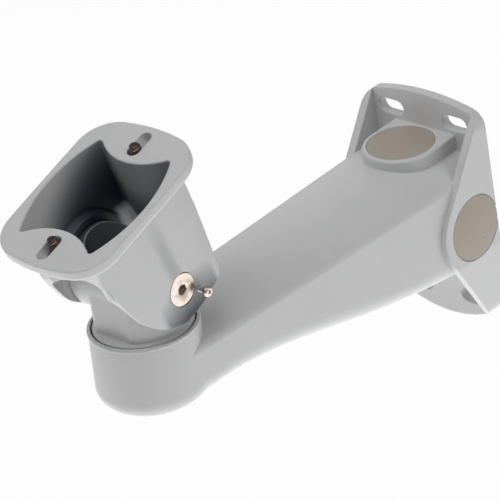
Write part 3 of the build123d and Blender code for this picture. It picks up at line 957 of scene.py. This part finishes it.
@dataclass
class TiltBolts(ScrewKind):
    """Two M8 countersunk bolts that clamp the tilt joint, one through each cheek of the head."""

    face_x: float = 31.0
    length: float = 20.0
    outer: float = 4.0
    pitch: float = 1.25
    head: float = 8.2
    edge: float = 0.4
    hexagon: float = 5.0
    hexagon_depth: float = 3.2

    def model(self) -> bpy.types.Object:
        """Model one bolt.

        Returns:
            The bolt about +Z, the face of its head at height 0.
        """
        bench = self.bench
        under = -self.edge - (self.head - self.outer)
        thread = Thread(self.outer, self.pitch, 0.6 - self.length, -8.8)
        head = bench.rod(self.outer, under, -self.edge, 64, self.head)
        bench.edit(head, "FACE", lambda f: f.normal.z > 0.9)
        bpy.ops.mesh.extrude_region_move(
            TRANSFORM_OT_translate={"value": (0, 0, (self.edge - 0.12) * MM)}
        )
        bpy.ops.mesh.extrude_region_move(TRANSFORM_OT_translate={"value": (0, 0, 0.12 * MM)})
        shrink = 1 - 0.18 / self.head
        bpy.ops.transform.resize(value=(shrink, shrink, 1), center_override=(0, 0, 0))
        bench.close()
        bench.edit(head, "FACE", lambda f: f.normal.z < -0.9)
        bpy.ops.mesh.extrude_region_move(
            TRANSFORM_OT_translate={"value": (0, 0, (-8.6 - under) * MM)}
        )
        bench.close()
        corner = self.hexagon / math.sqrt(3)
        bench.cut(head, bench.rod(corner, -self.hexagon_depth, 1.0, 6))
        bench.cut(head, bench.rod(corner - 0.45, -0.25, 0.05, 40, corner + 0.12))
        core = bench.rod(thread.root - 0.5, -self.length, -self.length + 0.6, 32, thread.root)
        bench.edit(core, "FACE", lambda f: f.normal.z > 0.9)
        bpy.ops.mesh.extrude_region_move(
            TRANSFORM_OT_translate={"value": (0, 0, (self.length - 9.0) * MM)}
        )
        bench.close()
        return bench.join([head, core, thread.wind(bench)])

    def build(self, paints: Paints) -> None:
        """Make both bolts.

        Args:
            paints: The finishes by name.
        """
        first = self.model()
        second = self.bench.twin(first)
        sides = ((first, "right", Way.RIGHT, 7.0), (second, "left", Way.LEFT, 35.0))
        for piece, side, way, turn in sides:
            at = PIVOT + way.vector() * self.face_x * MM
            self.bench.finish(piece, f"m8_bolt_{side}", at, way.vector(), turn)
            self.stand(
                piece, f"tilt_bolt_{side}", "swivel", paints["turned_steel"], "nickel_steel"
            )


@dataclass
class LockScrew(ScrewKind):
    """Small M3 screw with a domed, cross-recessed head that locks the tilt."""

    along: float = 8.7
    above: float = -8.3
    tip_x: float = 25.4
    seat_x: float = 35.4
    outer: float = 1.45
    pitch: float = 0.5
    head: float = 2.8
    head_h: float = 2.2
    cross: tuple[float, float, float] = (3.1, 0.75, 1.3)

    def build(self, paints: Paints) -> None:
        """Make the screw.

        Args:
            paints: The finishes by name.
        """
        bench = self.bench
        length = self.seat_x - self.tip_x
        thread = Thread(self.outer, self.pitch, 0.25 - length, -0.15, steps=20)
        core = bench.rod(thread.root - 0.25, -length, -length + 0.3, 24, thread.root)
        bench.edit(core, "FACE", lambda f: f.normal.z > 0.9)
        bpy.ops.mesh.extrude_region_move(
            TRANSFORM_OT_translate={"value": (0, 0, (length + 0.2) * MM)}
        )
        bench.close()
        head = bench.rod(self.head, 0.0, self.head_h, 40)
        bench.chamfer_top(head, self.head_h * 0.62, 6)
        long, wide, deep = self.cross
        for turn in (20.0, 110.0):
            bpy.ops.object.select_all(action="DESELECT")
            bpy.ops.mesh.primitive_cube_add(
                size=1.0, location=(0, 0, (self.head_h - deep / 2 + 0.25) * MM)
            )
            bar = bpy.context.object
            bar.scale = (long * MM, wide * MM, (deep + 0.5) * MM)
            bar.rotation_euler = (0, 0, math.radians(turn))
            bpy.ops.object.transform_apply(location=True, rotation=True, scale=True)
            bench.edit(bar, "FACE", lambda f: f.normal.z < -0.9)
            bpy.ops.transform.resize(
                value=(0.45, 0.45, 1), center_override=(0, 0, (self.head_h - deep) * MM)
            )
            bench.close()
            bench.cut(head, bar)
        piece = bench.join([head, core, thread.wind(bench)])
        up, back = Way.HEAD_UP.vector(), Way.HEAD_BACK.vector()
        at = PIVOT + (up * self.above + back * self.along) * MM
        at += Way.RIGHT.vector() * self.seat_x * MM
        bench.finish(piece, "m3_lock_screw", at, Way.RIGHT.vector())
        self.stand(piece, "tilt_lock_screw", "head", paints["nickel_steel"], "nickel_steel")


@dataclass
class PanSetScrews(ScrewKind):
    """Two M5 set screws with cone points in the wall of the cup."""

    height: float = -20.5
    angles: tuple[tuple[str, float], ...] = (("a", 180.0), ("b", 222.0))
    tip: float = 19.8
    end: float = 26.7
    outer: float = 2.5
    pitch: float = 0.8
    hexagon: float = 2.5
    hexagon_depth: float = 2.0

    def model(self) -> bpy.types.Object:
        """Model one set screw.

        Returns:
            The set screw about +Z, its outer end at height 0.
        """
        bench = self.bench
        length = self.end - self.tip
        thread = Thread(self.outer, self.pitch, self.outer - length - 0.2, -0.1, steps=24)
        core = bench.rod(0.25, -length, self.outer - length, 32, thread.root)
        bench.edit(core, "FACE", lambda f: f.normal.z > 0.9)
        bpy.ops.mesh.extrude_region_move(
            TRANSFORM_OT_translate={"value": (0, 0, (length - self.outer - 0.3) * MM)}
        )
        bpy.ops.mesh.extrude_region_move(TRANSFORM_OT_translate={"value": (0, 0, 0.3 * MM)})
        bpy.ops.transform.resize(value=(0.88, 0.88, 1), center_override=(0, 0, 0))
        bench.close()
        bench.cut(core, bench.rod(self.hexagon / math.sqrt(3), -self.hexagon_depth, 1.0, 6))
        return bench.join([core, thread.wind(bench)])

    def build(self, paints: Paints) -> None:
        """Make both set screws.

        Args:
            paints: The finishes by name.
        """
        axis = Vector((0.0, PIVOT.y, self.height * MM))
        first = self.model()
        second = self.bench.twin(first)
        for piece, (letter, angle) in zip((first, second), self.angles):
            turn = math.radians(angle)
            way = Vector((math.cos(turn), math.sin(turn), 0.0))
            self.bench.finish(piece, f"m5_set_screw_{letter}", axis + way * self.end * MM, way)
            self.stand(
                piece, f"pan_set_screw_{letter}", "arm", paints["bronzed_steel"], "nickel_steel"
            )


@dataclass
class ConduitPlugs(ScrewKind):
    """Three moulded plugs with a threaded skirt, in the top and side cable entries."""

    head: float = 17.45
    head_h: float = 2.0
    edge: float = 0.5
    outer: float = 15.85
    inner: float = 13.65
    skirt: float = 7.0
    pitch: float = 1.5
    gate: float = 9.5
    places: tuple[tuple[str, tuple[float, float, float], Way, float], ...] = (
        ("top", (0.0, -23.8, -6.5), Way.UP, 200.0),
        ("right", (36.8, -17.1, -49.6), Way.RIGHT, 300.0),
        ("left", (-36.8, -17.1, -49.6), Way.LEFT, 120.0),
    )

    def model(self) -> bpy.types.Object:
        """Model one plug.

        Returns:
            The plug about +Z, its face at height 0.
        """
        bench = self.bench
        thread = Thread(self.outer, self.pitch, 0.3 - self.head_h - self.skirt, -self.head_h)
        plug = bench.rod(self.head, -self.head_h, 0.0, 96)
        bench.chamfer_top(plug, self.edge, 4)
        bench.edit(plug, "FACE", lambda f: f.normal.z < -0.9)
        bpy.ops.mesh.inset(thickness=(self.head - thread.root) * MM, depth=0)
        bpy.ops.mesh.extrude_region_move(
            TRANSFORM_OT_translate={"value": (0, 0, (0.4 - self.skirt) * MM)}
        )
        bpy.ops.mesh.extrude_region_move(TRANSFORM_OT_translate={"value": (0, 0, -0.4 * MM)})
        shrink = 1 - 0.35 / thread.root
        bpy.ops.transform.resize(value=(shrink, shrink, 1), center_override=(0, 0, 0))
        bpy.ops.mesh.inset(thickness=(thread.root - 0.35 - self.inner) * MM, depth=0)
        bpy.ops.mesh.extrude_region_move(
            TRANSFORM_OT_translate={"value": (0, 0, self.skirt * MM)}
        )
        bench.close()
        bpy.ops.object.select_all(action="DESELECT")
        bpy.ops.mesh.primitive_uv_sphere_add(
            segments=20, ring_count=10, radius=0.42 * MM, location=(self.gate * MM, 0, 0.18 * MM)
        )
        bpy.ops.object.transform_apply(location=True, rotation=True, scale=True)
        bench.cut(plug, bpy.context.object)
        return bench.join([plug, thread.wind(bench)])

    def build(self, paints: Paints) -> None:
        """Make the three plugs.

        Args:
            paints: The finishes by name.
        """
        first = self.model()
        plugs = [first, *(self.bench.twin(first) for _ in self.places[1:])]
        for piece, (side, at, way, turn) in zip(plugs, self.places):
            self.bench.finish(piece, f"threaded_plug_{side}", Vector(at) * MM, way.vector(), turn)
            self.stand(piece, f"conduit_plug_{side}", "arm", paints["plug_plastic"], "plug_plastic")


@dataclass
class Castings:
    """The three painted castings, shown as the solids are."""

    coats: tuple[tuple[str, str], ...] = (
        ("arm", "painted_casting"),
        ("swivel_knuckle", "painted_knuckle"),
        ("tilt_head", "painted_head"),
    )

    def dress(self, solids: Solids, paints: Paints) -> None:
        """Paint the castings.

        Args:
            solids: The bracket's solids by name.
            paints: The finishes by name.
        """
        for name, coat in self.coats:
            wear(solids[name], paints[coat])
            LOG.info("painted %s", name)


@dataclass
class RingsAndWashers:
    """Seals and washers that keep the solids' shape."""

    finish_of: tuple[tuple[str, str], ...] = (
        ("plug_gasket_top", "black_rubber"),
        ("plug_gasket_left", "black_rubber"),
        ("plug_gasket_right", "black_rubber"),
        ("pan_seal_ring", "black_rubber"),
        ("pan_thrust_washer", "bearing_plastic"),
        ("tilt_washer_right", "bearing_plastic"),
        ("tilt_washer_left", "bearing_plastic"),
        ("camera_washer_front", "nickel_steel"),
        ("camera_washer_rear", "nickel_steel"),
        ("camera_spring_washer_front", "nickel_steel"),
        ("camera_spring_washer_rear", "nickel_steel"),
    )

    def dress(self, solids: Solids, paints: Paints) -> None:
        """Finish the rings and washers.

        Args:
            solids: The bracket's solids by name.
            paints: The finishes by name.
        """
        for name, finish in self.finish_of:
            wear(solids[name], paints[finish])
            LOG.info("finished %s", name)


@dataclass(frozen=True)
class Lamp:
    """One square, soft lamp: where it stands, its side in metres and its power in watts."""

    name: str
    at: tuple[float, float, float]
    side: float
    power: float
    lies_flat: bool = False


def around(azimuth: float, height: float, distance: float = 2.0) -> tuple[float, float, float]:
    """Return a place round the bracket.

    Args:
        azimuth: Degrees from the front, towards the lock screw's side.
        height: Degrees above the level.
        distance: Metres from the bracket's middle.

    Returns:
        The place in the bracket's frame.
    """
    turn, rise = math.radians(azimuth), math.radians(height)
    flat = math.cos(rise) * distance
    return (math.sin(turn) * flat, -math.cos(turn) * flat - 0.13, math.sin(rise) * distance)


@dataclass
class Studio:
    """Pale floor, soft lamps and an even sky."""

    floor_drop: float = 0.75
    floor_side: float = 40.0
    sky: float = 0.16
    lamps: tuple[Lamp, ...] = (
        Lamp("over_front", around(0, 68), 1.8, 22.5),
        Lamp("right", around(110, 30), 1.4, 10.5),
        Lamp("rear_left", around(225, 15), 1.4, 6.5),
        Lamp("front_left", around(300, 10), 1.4, 6.5),
        Lamp("light_table", (0.2, -0.13, -0.78), 3.0, 35.0, lies_flat=True),
    )
    aim: tuple[float, float, float] = (0.0, -0.13, 0.0)

    def build(self) -> None:
        """Make the floor, the sky and the lamps."""
        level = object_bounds()[0][2] - self.floor_drop
        bpy.ops.object.select_all(action="DESELECT")
        bpy.ops.mesh.primitive_plane_add(size=self.floor_side, location=(0, 0, level))
        floor = bpy.context.object
        floor.name = "studio_floor"
        wear(floor, self._floor_paint())
        floor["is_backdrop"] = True
        self._sky()
        for lamp in self.lamps:
            self._hang(lamp)
        LOG.info("studio with %d lamps", len(self.lamps))

    def _floor_paint(self) -> bpy.types.Material:
        """Make a pale floor that looks white to the camera and in reflections.

        Returns:
            The floor's material.
        """
        sheet = ShaderSheet("studio_floor")
        direct = sheet.node("ShaderNodeLightPath", {}, out="Is Camera Ray")
        mirrored = sheet.node("ShaderNodeLightPath", {}, out="Is Glossy Ray")
        share = ((direct + mirrored) * 0.97).clamped()
        speck = sheet.noise(6, detail=3)
        pale = sheet.blend(speck, (0.8, 0.8, 0.8), (0.84, 0.84, 0.84))
        matt = sheet.node("ShaderNodeBsdfDiffuse", {}, out="BSDF", Color=pale)
        white = sheet.node(
            "ShaderNodeEmission", {}, out="Emission", Color=(1.0, 1.0, 1.0), Strength=1.0
        )
        mixed = sheet.node("ShaderNodeMixShader", {}, share, matt, white, out="Shader")
        sheet.output(mixed)
        return sheet.material

    def _sky(self) -> None:
        """Light the scene evenly, white where the camera sees the sky itself."""
        world = bpy.data.worlds.new("studio_sky")
        bpy.context.scene.world = world
        world.use_nodes = True
        tree = world.node_tree
        tree.nodes.clear()
        path = tree.nodes.new("ShaderNodeLightPath")
        dim = tree.nodes.new("ShaderNodeBackground")
        dim.inputs["Strength"].default_value = self.sky
        white = tree.nodes.new("ShaderNodeBackground")
        for glow in (dim, white):
            glow.inputs["Color"].default_value = (1.0, 1.0, 1.0, 1.0)
        mix = tree.nodes.new("ShaderNodeMixShader")
        out = tree.nodes.new("ShaderNodeOutputWorld")
        tree.links.new(path.outputs["Is Camera Ray"], mix.inputs[0])
        tree.links.new(dim.outputs[0], mix.inputs[1])
        tree.links.new(white.outputs[0], mix.inputs[2])
        tree.links.new(mix.outputs[0], out.inputs["Surface"])

    def _hang(self, lamp: Lamp) -> None:
        """Add one lamp.

        Args:
            lamp: What to add.
        """
        light = bpy.data.lights.new(lamp.name, "AREA")
        light.shape = "SQUARE"
        light.size = lamp.side
        light.energy = lamp.power
        stand = bpy.data.objects.new(lamp.name, light)
        bpy.context.scene.collection.objects.link(stand)
        stand.location = lamp.at
        aim = Vector((0, 0, 1)) if lamp.lies_flat else Vector(self.aim) - Vector(lamp.at)
        stand.rotation_euler = aim.to_track_quat("-Z", "Y").to_euler()
        stand.visible_camera = False


@dataclass
class PhotoCamera:
    """Long lens camera at the photograph's place."""

    azimuth: float = 46.274
    elevation: float = 29.311
    roll: float = 9.473
    distance: float = 2.1696
    lens: float = 320.7
    sensor: float = 36.0
    target: tuple[float, float, float] = (0.0, -0.13943, -0.00839)

    def build(self) -> None:
        """Make the camera and hand it to the scene."""
        turn, rise, lean = (math.radians(v) for v in (self.azimuth, self.elevation, self.roll))
        back = Vector(
            (math.sin(turn) * math.cos(rise), -math.cos(turn) * math.cos(rise), math.sin(rise))
        )
        flat_right = Vector((math.cos(turn), math.sin(turn), 0.0))
        flat_up = back.cross(flat_right)
        right = flat_right * math.cos(lean) - flat_up * math.sin(lean)
        up = flat_right * math.sin(lean) + flat_up * math.cos(lean)
        data = bpy.data.cameras.new("photo_camera")
        data.lens = self.lens
        data.sensor_width = self.sensor
        data.sensor_height = self.sensor
        data.sensor_fit = "HORIZONTAL"
        data.clip_end = 100
        camera = bpy.data.objects.new("photo_camera", data)
        bpy.context.scene.collection.objects.link(camera)
        turned = Matrix((right, up, back)).transposed().to_4x4()
        stand = Matrix.Translation(Vector(self.target) + back * self.distance)
        camera.matrix_world = stand @ turned
        bpy.context.scene.camera = camera
        LOG.info("camera at %s", tuple(round(v, 4) for v in camera.location))


def main() -> None:
    """Load the solids, dress them, add the fasteners and set the stage."""
    logging.basicConfig(level=logging.INFO, format="%(name)s: %(message)s")
    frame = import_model()
    bpy.ops.object.select_all(action="DESELECT")
    paints = Finishes().make()
    Castings().dress(frame["nodes"], paints)
    RingsAndWashers().dress(frame["nodes"], paints)
    for part in (CameraScrews(), TiltBolts(), LockScrew(), PanSetScrews(), ConduitPlugs()):
        part.build(paints)
    Studio().build()
    PhotoCamera().build()
    bpy.context.scene.view_settings.view_transform = "Standard"


if __name__ == "__main__":
    main()
